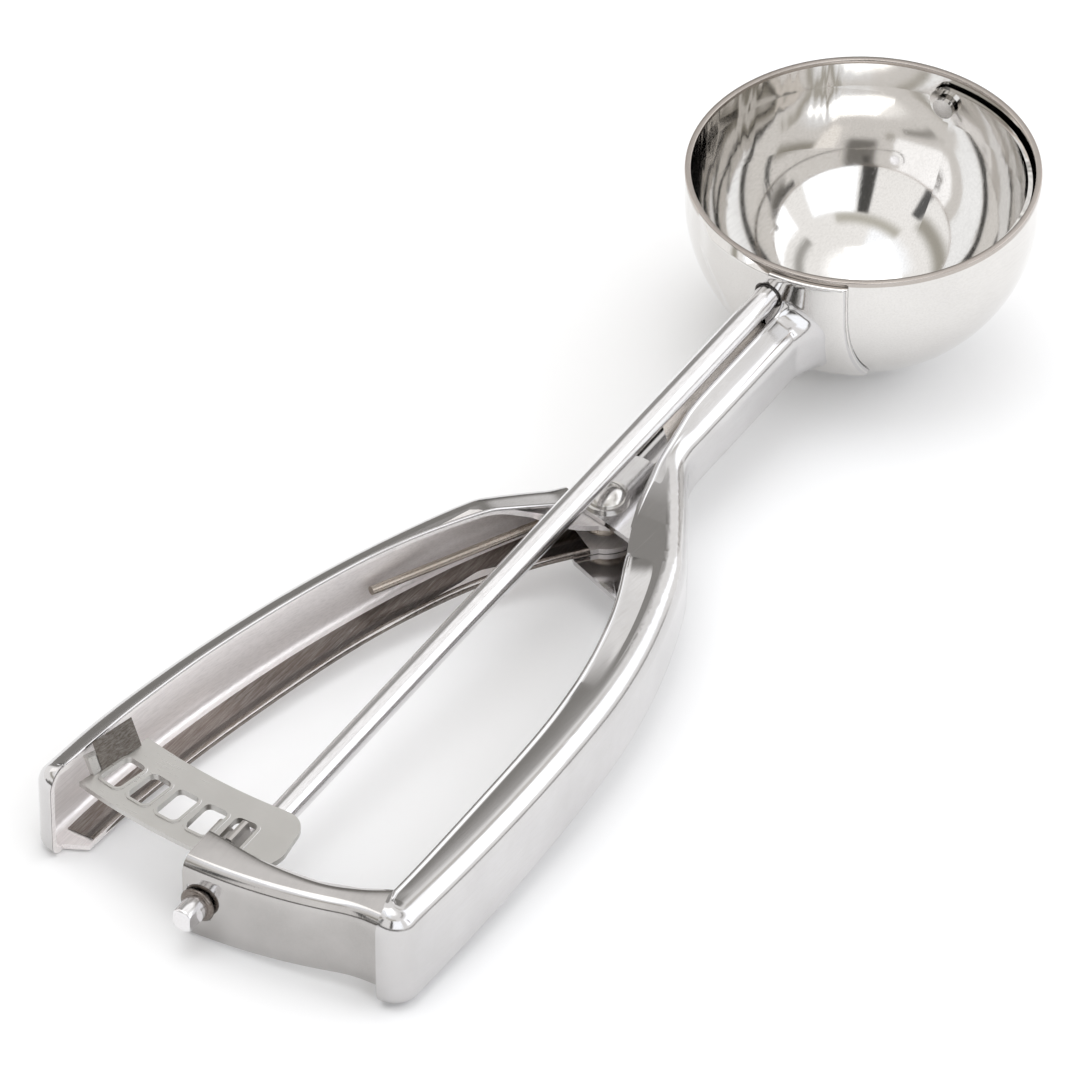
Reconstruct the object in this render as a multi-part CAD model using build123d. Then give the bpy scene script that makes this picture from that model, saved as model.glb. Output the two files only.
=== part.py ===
from build123d import *
import os
from math import sin, cos, tan, radians, degrees, acos, sqrt, pi

os.makedirs("parts", exist_ok=True)

# ---------------------------------------------------------------------------
# Lever (squeeze handle) ice cream scoop, all stainless steel sheet and wire.
# Everything is first drawn in the scoop's own frame: the origin is the centre
# of the bowl's sphere, +X runs forward along the sweep rod, +Y is the moving
# handle's side and +Z is square to the rim.  At the end every piece is laid
# down together, so that the bowl and both handle ends touch Z = 0.
# ---------------------------------------------------------------------------

# bowl
R_BOWL = 28.0          # outer radius
T_BOWL = 0.9           # sheet thickness
Z_RIM = 5.2            # rim above the sphere's centre
# sweep rod, blade and pinion
R_ROD = 2.0
X_ROD_TIP = -195.2
X_ROD_FRONT = -25.6
RUN = 0.05             # radial running clearance of rod, rivet and stud
R_BLADE = R_BOWL - T_BOWL - 0.35
T_BLADE = 0.7
W_BLADE = 6.6
PITCH_DEG = 3.0        # rack window pitch about the hinge
R_RACK = 103.13        # rack's pitch arc about the hinge
N_WINDOWS = 5
N_TEETH = 5            # teeth on the toothed half of the pinion, 45 degrees apart
R_TIP = 6.4
R_HUB = 3.7
R_STUD = 1.2           # stud that carries the blade's front end
W_PINION = 4.6
# handles
T = 0.9                # handle sheet
X_HINGE = -77.0
HALF_NECK = 6.6        # neck half width
SLOT = 2.2             # neck slot half width
Z_LEFT = -7.4          # top of the neck's low left wall
Z_TOP0 = -2.6          # top of the neck
Z_BOT0 = -13.6         # underside of the neck
X_TAPER = -72.0        # the fixed handle grows taller behind this
X_FIX_END = -187.2
X_MOV_END = -188.6
Z_TOP_FIX = 8.6        # heights at the handles' ends
Z_BOT_FIX = -9.2
Z_TOP_MOV = 10.0
Z_BOT_MOV = -5.85
Z_SPLIT = -5.0         # level where upper and lower sheet outlines meet
R_EDGE = 3.5           # outer bend radii along the fixed handle, top and bottom
R_EDGE_LOW = 2.6
R_EDGE_MOV = 3.0       # and along the moving handle
R_EDGE_MOV_LOW = 2.2
R_COR_FIX = 4.2        # rounded rear corners, seen from above
R_COR_MOV = 3.6
Y_FIX_LIP = -28.4      # free edge of the fixed handle's rear return
Y_MOV_LIP = 27.0
# hinge stack
Z_LAND = -6.0          # upper face of the neck's land under the rivet head
R_RIVET = 2.1
R_TAB = 5.4            # moving handle's rounded tabs
Z_TAB = -7.0           # upper face of the moving handle's upper tab
Z_TAB_LOW = -12.6      # lower face of its lower tab
R_WIRE = 0.7           # spring wire
GAP_LEG = 0.15         # between the coil's end and the lever-side leg
R_COIL = 3.5           # spring's mean coil radius
Z_COIL0 = -10.95
Z_COIL1 = -8.65
# rack and bracket
Z_RACK = 4.6           # rack's underside
T_RACK = 0.9
R_RACK_IN = 95.2       # rack's front and rear edges about the hinge
R_RACK_OUT = 109.0
WIN_T = 3.9            # window size along the arc
WIN_R = 6.2            # window size across it
Z_BRACKET = 6.95       # bracket's upper face
# laying the scoop down
REST_PITCH = -6.323416
REST_ROLL = -3.166613

# Plan paths of the outer web faces: start, heading in degrees, then tangent
# arcs given as (length, heading at the arc's end).
FIX_PATH = ((-60.0, -6.6), 180.0,
            [(8.259, 212.789), (21.323, 209.024), (2.909, 202.393),
             (39.496, 185.716), (49.2, 180.0)])
MOV_PATH = ((-74.6, 5.3), 180.0 - 34.052,
            [(26.818, 180.0 - 18.523), (35.53, 180.0 - 10.355),
             (35.056, 180.0 - 3.9), (11.4, 180.0)])
WALL_PATH = ((-186.24, -29.2), 90.0, [(3.2, 90.3), (5.0, 106.0), (24.3, 90.0)])

# Inner edges of the flanges.
FIX_IN = [(-68.0, -4.2), (-73.1, -5.6), (-78.8, -7.2), (-85.8, -9.9), (-102.2, -17.3),
          (-113.5, -20.9), (-125.8, -23.3), (-138.5, -24.9), (-159.1, -26.3),
          (-176.0, -27.2)]
FIX_IN_LOW = [(-89.8, -9.9), (-97.0, -15.0), (-108.0, -19.6), (-120.0, -22.3),
              (-138.5, -24.6), (-159.1, -26.0), (-176.0, -27.0)]
MOV_IN = [(-81.5, 2.9), (-90.5, 8.0), (-99.0, 12.3), (-109.4, 16.5),
          (-122.1, 20.2), (-134.6, 22.7), (-149.0, 24.9), (-165.4, 26.4),
          (-176.0, 26.8)]
MOV_IN_LOW = [(-82.0, -1.9), (-90.0, 4.4), (-99.0, 9.4), (-111.8, 14.0),
              (-121.1, 16.5), (-131.8, 18.6), (-141.9, 20.2), (-152.3, 21.6),
              (-165.0, 22.9), (-176.0, 23.6)]


# ------------------------------------------------------------------- helpers
def V(x, y, z=0.0):
    return Vector(x, y, z)


def prism(face, z0, z1):
    """Extrude a face drawn on XY from z0 to z1."""
    return extrude(Pos(0, 0, z0) * face, amount=z1 - z0, dir=(0, 0, 1))


def poly(pts):
    return make_face(Polyline(*[V(*p) for p in pts], close=True))


def box(x0, x1, y0, y1, z0, z1):
    return Pos((x0 + x1) / 2, (y0 + y1) / 2, (z0 + z1) / 2) * Box(
        abs(x1 - x0), abs(y1 - y0), abs(z1 - z0))


def cyl_x(r, x0, x1, y=0.0, z=0.0):
    return Pos((x0 + x1) / 2, y, z) * Rot(0, 90, 0) * Cylinder(r, abs(x1 - x0))


def cyl_z(r, z0, z1, x=X_HINGE, y=0.0):
    return Pos(x, y, (z0 + z1) / 2) * Cylinder(r, abs(z1 - z0))


def main_solid(s):
    """The largest solid of a result."""
    return max(s.solids(), key=lambda q: q.volume)


def try_fillet(s, edges, r, what=""):
    edges = list(edges)
    for k in (1.0, 0.9, 0.75, 0.5):
        if not edges:
            break
        try:
            f = fillet(edges, r * k)
            if f.is_valid and f.volume > 0.5 * s.volume:
                if k < 1:
                    print("fillet reduced:", what, r * k)
                return main_solid(f)
        except Exception:
            pass
    print("fillet skipped:", what, r, len(edges))
    return s


def arcs(path, d=0.0):
    """Tangent arcs of a plan path, moved d to the left of its direction.
    Gives the edges, the end point and the points at the arcs' ends."""
    (x, y), h, segs = path
    h = radians(h)
    x, y = x - d * sin(h), y + d * cos(h)
    edges, pts = [], [(x, y)]
    for length, h1 in segs:
        h1 = radians(h1)
        dh = h1 - h
        L = length - d * dh
        c = 2 * (L / dh) * sin(dh / 2)
        cm = 2 * (L / dh) * sin(dh / 4)
        m = (x + cm * cos(h + dh / 4), y + cm * sin(h + dh / 4))
        e = (x + c * cos(h + dh / 2), y + c * sin(h + dh / 2))
        edges.append(ThreePointArc(V(x, y), V(*m), V(*e)))
        x, y = e
        h = h1
        pts.append(e)
    return edges, (x, y), pts


def lines(pts):
    return [Line(V(*a), V(*b)) for a, b in zip(pts[:-1], pts[1:])
            if sqrt((a[0] - b[0]) ** 2 + (a[1] - b[1]) ** 2) > 1e-6]


def corner(x_end, y_web, r, side):
    """Rounded rear corner from the web round to the return."""
    q = r * (1 - cos(pi / 4))
    return ThreePointArc(V(x_end + r, y_web), V(x_end + q, y_web - side * q),
                         V(x_end, y_web - side * r))


def rounded_outline(pts, radii, d):
    """Closed XZ outline, clockwise or not, moved d inward, with tangent arcs
    of the given radii at its corners (0 leaves a corner sharp)."""
    n = len(pts)
    area = sum(pts[i][0] * pts[(i + 1) % n][1] - pts[(i + 1) % n][0] * pts[i][1]
               for i in range(n))
    sg = 1 if area > 0 else -1
    ln = []
    for i in range(n):
        a, b = pts[i], pts[(i + 1) % n]
        L = sqrt((b[0] - a[0]) ** 2 + (b[1] - a[1]) ** 2)
        u = ((b[0] - a[0]) / L, (b[1] - a[1]) / L)
        nrm = (-u[1] * sg, u[0] * sg)
        ln.append(((a[0] + nrm[0] * d, a[1] + nrm[1] * d), u))
    q = []
    for i in range(n):
        (p, u), (r, w) = ln[i - 1], ln[i]
        det = u[0] * w[1] - u[1] * w[0]
        t = ((r[0] - p[0]) * w[1] - (r[1] - p[1]) * w[0]) / det
        q.append((p[0] + u[0] * t, p[1] + u[1] * t))
    starts, ends, mids = [], [], []
    for i in range(n):
        u, w = ln[i - 1][1], ln[i][1]
        turn = (u[0] * w[1] - u[1] * w[0]) * sg
        r = radii[i]
        if r:
            r = r - d if turn > 0 else r + d
            half = acos(max(-1, min(1, u[0] * w[0] + u[1] * w[1]))) / 2
            t = r * tan(half)
            s = (q[i][0] - u[0] * t, q[i][1] - u[1] * t)
            e = (q[i][0] + w[0] * t, q[i][1] + w[1] * t)
            bx, bz = w[0] - u[0], w[1] - u[1]
            L = sqrt(bx * bx + bz * bz)
            k = r / cos(half) - r
            m = (q[i][0] + bx / L * k, q[i][1] + bz / L * k)
        else:
            s = e = m = q[i]
        starts.append(s)
        ends.append(e)
        mids.append(m)
    edges = []
    for i in range(n):
        j = (i + 1) % n
        if radii[i]:
            edges.append(ThreePointArc(V(starts[i][0], 0, starts[i][1]),
                                       V(mids[i][0], 0, mids[i][1]),
                                       V(ends[i][0], 0, ends[i][1])))
        edges.append(Line(V(ends[i][0], 0, ends[i][1]),
                          V(starts[j][0], 0, starts[j][1])))
    return edges


def side_solid(pts, radii, d):
    face = make_face(rounded_outline(pts, radii, d))
    return Pos(0, -60, 0) * extrude(face, amount=120, dir=(0, 1, 0))


def near_path(p, pts_list, tol):
    best = 1e9
    for pts in pts_list:
        for a, b in zip(pts[:-1], pts[1:]):
            dx, dy = b[0] - a[0], b[1] - a[1]
            L2 = dx * dx + dy * dy
            t = max(0, min(1, ((p.X - a[0]) * dx + (p.Y - a[1]) * dy) / L2)) if L2 else 0
            best = min(best, sqrt((p.X - a[0] - t * dx) ** 2 + (p.Y - a[1] - t * dy) ** 2))
    return best < tol


def dense(edges, k=24):
    out = []
    for e in edges:
        for i in range(k + 1):
            p = e.position_at(i / k)
            out.append((p.X, p.Y))
    return out


def bend_edges(s, rims, z_mid):
    """Long edges of a channel body at its top and bottom outer corners."""
    top, bot = [], []
    for e in s.edges():
        a, m, b = e.position_at(0), e.position_at(0.5), e.position_at(1)
        if e.length < 0.8 or abs(a.Z - b.Z) > 0.6 * e.length:
            continue
        if not all(near_path(q, rims, 0.06) for q in (a, m, b)):
            continue
        zm = z_mid(m.X)
        if abs(a.Z - Z_SPLIT) < 0.02 and abs(b.Z - Z_SPLIT) < 0.02:
            continue
        (top if m.Z > zm else bot).append(e)
    return top, bot


# ------------------------------------------------------------------ the bowl
def dome(r, z_rim):
    """Sphere of radius r below the centre, straight wall up to z_rim."""
    f = make_face([
        ThreePointArc(V(r, 0, 0), V(r * cos(pi / 4), 0, -r * sin(pi / 4)), V(0, 0, -r)),
        Line(V(0, 0, -r), V(0, 0, z_rim)), Line(V(0, 0, z_rim), V(r, 0, z_rim)),
        Line(V(r, 0, z_rim), V(r, 0, 0))])
    return revolve(f, Axis.Z, 360)


RI = R_BOWL - T_BOWL
rr = 0.3
wall = [
    ThreePointArc(V(R_BOWL, 0, 0), V(R_BOWL * cos(pi / 4), 0, -R_BOWL * sin(pi / 4)),
                  V(0, 0, -R_BOWL)),
    Line(V(0, 0, -R_BOWL), V(0, 0, -RI)),
    ThreePointArc(V(0, 0, -RI), V(RI * cos(pi / 4), 0, -RI * sin(pi / 4)), V(RI, 0, 0)),
    Line(V(RI, 0, 0), V(RI, 0, Z_RIM - rr)),
    ThreePointArc(V(RI, 0, Z_RIM - rr), V(RI + rr * (1 - cos(pi / 4)), 0, Z_RIM - rr * (1 - cos(pi / 4))),
                  V(RI + rr, 0, Z_RIM)),
    Line(V(RI + rr, 0, Z_RIM), V(R_BOWL - rr, 0, Z_RIM)),
    ThreePointArc(V(R_BOWL - rr, 0, Z_RIM),
                  V(R_BOWL - rr * (1 - cos(pi / 4)), 0, Z_RIM - rr * (1 - cos(pi / 4))),
                  V(R_BOWL, 0, Z_RIM - rr)),
    Line(V(R_BOWL, 0, Z_RIM - rr), V(R_BOWL, 0, 0)),
]
bowl = revolve(make_face(wall), Axis.Z, 360)
bowl -= cyl_x(R_ROD + RUN, -30, -24)
bowl -= cyl_x(R_STUD, 24, 30)
bowl = main_solid(bowl)

# -------------------------------------------------------------- fixed handle
# Side outline: level along the neck, then taller toward the handle's end.
_slope = (Z_TOP_FIX - Z_TOP0) / (X_FIX_END - X_TAPER)
xe = X_FIX_END - 5
FIX_SIDE = [(-18.0, Z_TOP0), (X_TAPER, Z_TOP0), (xe, Z_TOP0 + _slope * (xe - X_TAPER)),
            (xe, Z_BOT_FIX), (-84.0, Z_BOT0), (-18.0, Z_BOT0)]
FIX_SIDE_R = [0, 200.0, 0, 0, 180.0, 0]
_kb = (Z_BOT_FIX - Z_BOT0) / (X_FIX_END + 84.0)
FIX_SIDE[3] = (xe, Z_BOT0 + _kb * (xe + 84.0))


def fix_outer(inner, front):
    """Plan outline of the fixed handle, from the neck's right face round the
    rear corner and back along a flange's inner edge."""
    e, end, _ = arcs(FIX_PATH)
    yw = end[1]
    edges = [Line(V(-18, -HALF_NECK), V(*FIX_PATH[0]))] + e
    edges += lines([end, (X_FIX_END + R_COR_FIX, yw)])
    edges += [corner(X_FIX_END, yw, R_COR_FIX, -1)]
    edges += lines([(X_FIX_END, yw + R_COR_FIX), (X_FIX_END, Y_FIX_LIP),
                    (X_FIX_END + 1.6, Y_FIX_LIP), (X_FIX_END + 5.5, inner[-1][1]),
                    inner[-1]])
    edges += [Spline(*[V(*p) for p in reversed(inner)])]
    edges += lines([inner[0]] + front + [(-18, -HALF_NECK)])
    return make_face(edges), end


fix_up, FIX_END = fix_outer(FIX_IN, [(-60.0, -2.8), (-54.0, -SLOT), (-18, -SLOT)])
fix_low, _ = fix_outer(FIX_IN_LOW, [(-70.0, HALF_NECK), (-18, HALF_NECK)])
fix_body = prism(fix_up, Z_SPLIT, 20) + prism(fix_low, -20, Z_SPLIT)
fix_body = main_solid(fix_body & side_solid(FIX_SIDE, FIX_SIDE_R, 0))
_e, _end, _p = arcs(FIX_PATH)
rim_fix = [[(-18, -HALF_NECK), (-60, -HALF_NECK)], dense(_e),
           [_end, (X_FIX_END + R_COR_FIX, _end[1])],
           dense([corner(X_FIX_END, _end[1], R_COR_FIX, -1)]),
           [(X_FIX_END, _end[1] + R_COR_FIX), (X_FIX_END, Y_FIX_LIP)],
           [(-18, HALF_NECK), (-70, HALF_NECK)]]
top, bot = bend_edges(fix_body, rim_fix, lambda x: -6.0)
fix_body = try_fillet(fix_body, top, R_EDGE, "fixed top")
top, bot = bend_edges(fix_body, rim_fix, lambda x: -6.0)
fix_body = try_fillet(fix_body, bot, R_EDGE_LOW, "fixed bottom")

# what is inside the channel, open toward the rod
e, end, _ = arcs(FIX_PATH, -T)
ri = R_COR_FIX - T
edges = [Line(V(-17, -HALF_NECK + T), V(FIX_PATH[0][0], -HALF_NECK + T))] + e
edges += lines([end, (X_FIX_END + T + ri, end[1])])
edges += [corner(X_FIX_END + T, end[1], ri, -1)]
edges += lines([(X_FIX_END + T, end[1] + ri), (X_FIX_END + T, 25), (-68, 25),
                (-68, HALF_NECK - T), (-17, HALF_NECK - T), (-17, -HALF_NECK + T)])
hollow = main_solid(prism(make_face(edges), -20, 20) & side_solid(
    [(-10, Z_TOP0)] + FIX_SIDE[1:5] + [(-10, Z_BOT0)], FIX_SIDE_R, T))
rim_in = [[(-17, -HALF_NECK + T), (-60, -HALF_NECK + T)], dense(e),
          [end, (X_FIX_END + T + ri, end[1])],
          dense([corner(X_FIX_END + T, end[1], ri, -1)]),
          [(X_FIX_END + T, end[1] + ri), (X_FIX_END + T, 25)],
          [(-17, HALF_NECK - T), (-68, HALF_NECK - T)]]
top, bot = bend_edges(hollow, rim_in, lambda x: -6.0)
hollow = try_fillet(hollow, top, R_EDGE - T, "fixed inside top")
top, bot = bend_edges(hollow, rim_in, lambda x: -6.0)
hollow = try_fillet(hollow, bot, R_EDGE_LOW - T, "fixed inside bottom")
fixed = fix_body - hollow
# the neck's left wall stays below the rod
fixed -= box(-75, -10, 2.0, 12, Z_LEFT, 2)
# rounded lower tab that carries the rivet's lower head
fixed += prism(poly([(-70.0, 4.3), (-73.0, 5.2), (-78.0, 5.5), (-82.6, 3.8), (-85.4, 0.6),
                     (-89.6, -9.9), (-80.0, -12.0), (-68.0, -4.0)]), Z_BOT0, Z_BOT0 + T)

# land under the rivet head, and the step down to it
land = poly([(-80.3, 4.2), (-81.6, -2.0), (-86.4, -19.6), (-90, -30), (-60, -30), (-62, -9.0),
             (-66.0, -6.4), (-66.0, -2.4)] +
            [(-72 + 6 * cos(radians(a)), 5.2 * sin(radians(a))) for a in
             (-22, -10, 0, 12, 24, 36, 48, 60, 72, 84)] + [(-76.0, 5.4)])
e, end, _ = arcs(FIX_PATH, -0.45)
keep = make_face([Line(V(-40, -HALF_NECK + 0.45), V(-60, -HALF_NECK + 0.45))] + e +
                 lines([end, (-180, 10), (-40, 10), (-40, -HALF_NECK + 0.45)]))
land = prism(land, Z_LAND - T, Z_LAND) & prism(keep, -20, 20)
step = poly([(-61.0, -2.65), (-68.0, -3.85), (-73.1, -5.2), (-78.8, -6.8), (-84.9, -9.2),
             (-85.2, -10.6), (-78.8, -8.3), (-73.1, -6.7), (-68.0, -5.2), (-61.0, -3.9)])
step = prism(step, Z_LAND - T / 2, 20) & side_solid(FIX_SIDE, FIX_SIDE_R, 0.35)
fixed = fixed + land + step

# ears that hold the bowl
shell = dome(R_BOWL + 0.93, 4.2)
ear = [(-12.2, 4.2), (11.4, 4.2), (11.4, -0.8), (7.4, -6.4), (6.6, -9.0), (6.6, -17.8),
       (-12.2, -17.8)]
ears = shell & extrude(make_face(Polyline(*[Vector(-40, y, z) for y, z in ear], close=True)),
                       amount=38, dir=(1, 0, 0))
fixed = fixed + ears
fixed -= dome(R_BOWL + 0.03, 30)
fixed -= box(-40, -20, -HALF_NECK + T, HALF_NECK - T, Z_BOT0 + T, Z_TOP0 - T)
fixed -= box(-40, -20, -SLOT - 0.1, SLOT + 0.1, Z_TOP0 - T - 0.2, 10)
for z0, z1 in ((Z_LAND - 2, Z_LAND + 1), (Z_BOT0 - 1, Z_BOT0 + 2)):
    fixed -= cyl_z(R_RIVET, z0, z1)
fixed_handle = main_solid(fixed)
print("fixed", len(fixed.solids()), fixed_handle.is_valid, round(fixed_handle.volume, 1))

# ------------------------------------------------------------- moving handle
_kt = (Z_TOP_MOV - Z_TOP0) / (X_MOV_END - X_TAPER)
_kl = (Z_BOT_MOV - Z_TAB_LOW) / (X_MOV_END + 90.0)
xe = X_MOV_END - 5
MOV_SIDE = [(-66.0, Z_TAB), (-83.2, Z_TAB), (-93.0, Z_TOP0 + _kt * (-93.0 - X_TAPER)),
            (xe, Z_TOP0 + _kt * (xe - X_TAPER)), (xe, Z_TAB_LOW + _kl * (xe + 90.0)),
            (-90.0, Z_TAB_LOW), (-66.0, Z_TAB_LOW)]
MOV_SIDE_R = [0, 6.0, 12.0, 0, 0, 150.0, 0]


def mov_outer(inner):
    e, end, _ = arcs(MOV_PATH)
    edges = e + lines([end, (X_MOV_END + R_COR_MOV, end[1])])
    edges += [corner(X_MOV_END, end[1], R_COR_MOV, 1)]
    edges += lines([(X_MOV_END, end[1] - R_COR_MOV), (X_MOV_END, Y_MOV_LIP),
                    (X_MOV_END + 2.6, Y_MOV_LIP), (X_MOV_END + 4.6, inner[-1][1]),
                    inner[-1]])
    edges += [Spline(*[V(*p) for p in reversed(inner)])]
    edges += lines([inner[0], (-79.0, -3.0), (-74.0, 0.0), MOV_PATH[0]])
    return make_face(edges), end


mov_up, MOV_END = mov_outer(MOV_IN)
mov_low, _ = mov_outer(MOV_IN_LOW)
disc = cyl_z(R_TAB, -20, 20)
mov_body = prism(mov_up, Z_SPLIT, 20) + prism(mov_low, -20, Z_SPLIT)
mov_body = main_solid(mov_body & side_solid(MOV_SIDE, MOV_SIDE_R, 0))
_e, _end, _p = arcs(MOV_PATH)
rim_mov = [dense(_e), [_end, (X_MOV_END + R_COR_MOV, _end[1])],
           dense([corner(X_MOV_END, _end[1], R_COR_MOV, 1)]),
           [(X_MOV_END, _end[1] - R_COR_MOV), (X_MOV_END, Y_MOV_LIP)]]
zmid = lambda x: -9.8 if x > -90 else -6 + (x + 90) * -0.06
top, bot = bend_edges(mov_body, rim_mov, zmid)
mov_body = try_fillet(mov_body, top, R_EDGE_MOV, "moving top")
top, bot = bend_edges(mov_body, rim_mov, zmid)
mov_body = try_fillet(mov_body, bot, R_EDGE_MOV_LOW, "moving bottom")
e, end, _ = arcs(MOV_PATH, T)
ri = R_COR_MOV - T
h0 = radians(MOV_PATH[1])
start_in = (MOV_PATH[0][0] - T * sin(h0), MOV_PATH[0][1] + T * cos(h0))
edges = list(e) + lines([end, (X_MOV_END + T + ri, end[1])])
edges += [corner(X_MOV_END + T, end[1], ri, 1)]
ahead = (start_in[0] - 9 * cos(h0), start_in[1] - 9 * sin(h0))
edges += lines([(X_MOV_END + T, end[1] - ri), (X_MOV_END + T, -25), (ahead[0], -25),
                ahead, start_in])
mov_hollow = main_solid(prism(make_face(edges), -20, 20) & side_solid(MOV_SIDE, MOV_SIDE_R, T))
rim_in = [dense(e), [ahead, start_in], [end, (X_MOV_END + T + ri, end[1])],
          dense([corner(X_MOV_END + T, end[1], ri, 1)]),
          [(X_MOV_END + T, end[1] - ri), (X_MOV_END + T, -25)]]
top, bot = bend_edges(mov_hollow, rim_in, zmid)
mov_hollow = try_fillet(mov_hollow, top, R_EDGE_MOV - T, "moving inside top")
top, bot = bend_edges(mov_hollow, rim_in, zmid)
mov_hollow = try_fillet(mov_hollow, bot, R_EDGE_MOV_LOW - T, "moving inside bottom")
tabs = (cyl_z(R_TAB, Z_TAB - T, Z_TAB) + cyl_z(R_TAB, Z_TAB_LOW, Z_TAB_LOW + T))
moving = (mov_body - mov_hollow) + tabs
# room for the spring's coil
moving -= cyl_z(R_COIL + R_WIRE + 0.25, Z_TAB_LOW + T, Z_TAB - T)
moving -= cyl_z(R_RIVET + RUN, -20, 0)
moving_handle = main_solid(moving)
print("moving", len(moving.solids()), moving_handle.is_valid, round(moving_handle.volume, 1))

# ---------------------------------------------------------------- end bracket
e, end, _ = arcs(WALL_PATH)
front = [(end[0] + 6.2, end[1]), (-184.2, -7.3), (-183.6, -16.3), (-181.6, -22.4),
         (-179.5, -26.2), (-176.8, -31.0), (-182.0, -31.0)]
br = prism(make_face(list(e) + lines([end] + front + [WALL_PATH[0]])), -12, Z_BRACKET)
te = [q for q in br.edges() if q.length > 3 and abs(q.position_at(0).Z - Z_BRACKET) < 0.01
      and abs(q.position_at(1).Z - Z_BRACKET) < 0.01
      and near_path(q.position_at(0.5), [dense(e)], 0.05)]
br = try_fillet(br, te, 2.4, "bracket bend")
e, end, _ = arcs(WALL_PATH, -T)
inner = prism(make_face(list(e) + lines([end, (end[0], end[1] + 5), (-150, end[1] + 5),
                                         (-150, -40), (e[0].position_at(0).X, -40),
                                         (e[0].position_at(0).X, e[0].position_at(0).Y)])),
              -20, Z_BRACKET - T)
te = [q for q in inner.edges() if q.length > 3 and abs(q.position_at(0).Z - Z_BRACKET + T) < 0.01
      and abs(q.position_at(1).Z - Z_BRACKET + T) < 0.01
      and near_path(q.position_at(0.5), [dense(e), [(end[0], end[1]), (end[0], end[1] + 5)],
                                         [(e[0].position_at(0).X, -40),
                                          (e[0].position_at(0).X, e[0].position_at(0).Y)]], 0.05)]
inner = try_fillet(inner, te, 1.5, "bracket inside")
br -= inner
low = make_face([Line(Vector(-150, 10, -7.0), Vector(-150, -40, -5.6)),
                 Line(Vector(-150, -40, -5.6), Vector(-150, -40, -30)),
                 Line(Vector(-150, -40, -30), Vector(-150, 10, -30)),
                 Line(Vector(-150, 10, -30), Vector(-150, 10, -7.0))])
br -= extrude(low, amount=60, dir=(-1, 0, 0))
br -= cyl_x(R_ROD + RUN, -200, -180)
br = br & side_solid(FIX_SIDE, FIX_SIDE_R, T + 0.05)
# bevel that clears the inside bend of the fixed handle's top flange
yc = FIX_END[1] + R_EDGE
zc = Z_TOP0 + _slope * (-176.8 - X_TAPER) - R_EDGE + (R_EDGE - T) * sqrt(2) - 0.4
bevel = [(yc - 6, zc - 6), (yc + 2, zc + 2), (yc - 6, zc + 2)]
br -= extrude(make_face(Polyline(*[Vector(-190, y, z) for y, z in bevel], close=True)),
              amount=20, dir=(1, 0, 0))
end_bracket = main_solid(br)
print("bracket", len(br.solids()), end_bracket.is_valid, round(end_bracket.volume, 1))

# ----------------------------------------------------------- sweep rod, pinion
rod = cyl_x(R_ROD, X_ROD_TIP, X_ROD_FRONT)
rod = try_fillet(rod, rod.edges().filter_by(lambda q: abs(q.center(CenterOf.BOUNDING_BOX).X - X_ROD_TIP) < 0.01), 0.4, "rod tip")
for s in (1, -1):
    rod -= box(X_ROD_TIP - 1, X_ROD_TIP + 2.6, s * 1.45, s * 3.5, -3, 3)
sweep_rod = main_solid(rod)

xp0 = X_HINGE - R_RACK - W_PINION / 2
pin = cyl_x(R_HUB, xp0, xp0 + W_PINION)
for i in range(N_TEETH):
    prof = Polyline(Vector(xp0, -1.02, 3.0), Vector(xp0, -0.98, 4.0), Vector(xp0, -0.68, 5.4),
                    Vector(xp0, -0.46, R_TIP - 0.1), Vector(xp0, 0.0, R_TIP),
                    Vector(xp0, 0.46, R_TIP - 0.1), Vector(xp0, 0.68, 5.4),
                    Vector(xp0, 0.98, 4.0), Vector(xp0, 1.02, 3.0), close=True)
    tooth = extrude(make_face(prof), amount=W_PINION, dir=(1, 0, 0))
    pin += Rot(-45.0 * i, 0, 0) * tooth
pin -= cyl_x(R_ROD, -200, -160)
pinion = main_solid(pin)

# ----------------------------------------------------------------- sweep blade
ring = Rot(0, 0, 90) * (Sphere(R_BLADE) - Sphere(R_BLADE - T_BLADE))
cut = box(-30, 30, -30, 0.5, -W_BLADE / 2, W_BLADE / 2)
cut += cyl_x(3.8, -30, -20)
cut += cyl_x(3.0, 20, 30)
blade = ring & cut
blade -= cyl_x(R_ROD, -30, -20)
blade -= cyl_x(R_STUD + RUN, 20, 30)
sweep_blade = main_solid(blade)

# ------------------------------------------------------------------ blade stud
stud = cyl_x(R_STUD, 25.3, 28.4)
head = cyl_x(2.2, 26.5, 29.2)
head = try_fillet(head, head.edges().filter_by(lambda q: abs(q.center(CenterOf.BOUNDING_BOX).X - 29.2) < 0.01), 0.8, "stud head")
head -= dome(R_BOWL, 30)
stud += head
stud += cyl_x(1.8, 24.8, 25.5)
blade_stud = main_solid(stud)

# ---------------------------------------------------------- rivet and washer
def button(r, edge, h, z, up):
    """Domed rivet head: a short straight edge, then a spherical cap."""
    R = (r * r + h * h) / (2 * h)
    zc = z + up * (edge + h - R)
    am = acos((R - h) / R) / 2
    prof = make_face([Line(V(0, 0, z), V(r, 0, z)), Line(V(r, 0, z), V(r, 0, z + up * edge)),
                      ThreePointArc(V(r, 0, z + up * edge),
                                    V(R * sin(am), 0, zc + up * R * cos(am)),
                                    V(0, 0, z + up * (edge + h))),
                      Line(V(0, 0, z + up * (edge + h)), V(0, 0, z))])
    return Pos(X_HINGE, 0, 0) * revolve(prof, Axis.Z, 360)


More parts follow.
